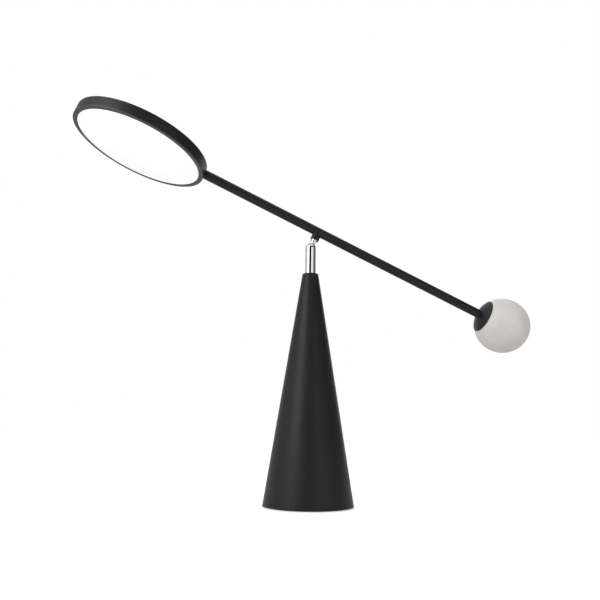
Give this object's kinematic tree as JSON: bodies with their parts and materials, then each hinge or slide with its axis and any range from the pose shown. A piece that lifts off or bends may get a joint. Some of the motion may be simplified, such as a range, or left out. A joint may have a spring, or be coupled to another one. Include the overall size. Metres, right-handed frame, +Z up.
{
  "type": "desk lamp",
  "caption": "Balance desk lamp: a flat round lit head and a stone ball on one straight arm, which tilts and swivels on a chrome post over a tall black cone.",
  "frame": {"origin": "centre of the foot pad's underside, on the table", "axes": "+Z up, along the cone and the post; +X along the level direction of the arm, towards the counterweight ball; +Y towards the cord outlet's side"},
  "size_m": [0.663, 0.187, 0.5158],
  "materials": {
    "cone_coat": "matte powder coat",
    "arm_coat": "matte powder coat",
    "head_coat": "matte powder coat",
    "plate_coat": "black electrocoat",
    "bezel_plastic": "satin",
    "opal_plastic": "opal satin",
    "reflector_white": "matte white",
    "board_white": "white solder mask",
    "led_phosphor": "phosphor gel",
    "chrome": "polished",
    "honed_stone": "honed",
    "turned_brass": "turned, nickel plated",
    "zinc_steel": "zinc plated",
    "ballast_iron": "as cast, painted",
    "foot_rubber": "matte",
    "grommet_rubber": "matte",
    "washer_nylon": "natural",
    "driver_case": "moulded"
  },
  "bodies": {
    "base": {"base_cone": "cone_coat", "cord_outlet": "grommet_rubber", "ballast_weight": "ballast_iron", "bottom_plate": "plate_coat", "plate_screws": "zinc_steel", "foot_pad": "foot_rubber", "tie_rod": "zinc_steel", "tie_nut": "zinc_steel", "tie_washer": "zinc_steel", "top_bush": "turned_brass", "stop_pin": "zinc_steel", "driver_bracket": "zinc_steel", "bracket_screws": "zinc_steel", "led_driver": "driver_case"},
    "post": {"swivel_post": "chrome", "turn_washer": "washer_nylon", "stem_clip": "zinc_steel", "pivot_pin": "chrome"},
    "arm": {"tilt_tongue": "chrome", "tilt_washers": "washer_nylon", "arm_lug": "arm_coat", "arm_tube": "arm_coat", "head_plug": "zinc_steel", "head_screws": "zinc_steel", "head_pan": "head_coat", "front_bezel": "bezel_plastic", "diffuser": "opal_plastic", "reflector_ring": "reflector_white", "led_board": "board_white", "leds": "led_phosphor", "ball_cup": "arm_coat", "ball_stud": "zinc_steel", "ball_insert": "turned_brass", "stone_ball": "honed_stone"}
  },
  "joints": [
    {"name": "post_swivel", "type": "hinge", "parent": "base", "child": "post", "pos_m": [0, 0, 0.312], "axis": [0, 0, 1], "range_deg": [-170, 170]},
    {"name": "arm_tilt", "type": "hinge", "parent": "post", "child": "arm", "pos_m": [0, 0, 0.3495], "axis": [0, 1, 0], "range_deg": [-68, 22]}
  ]
}
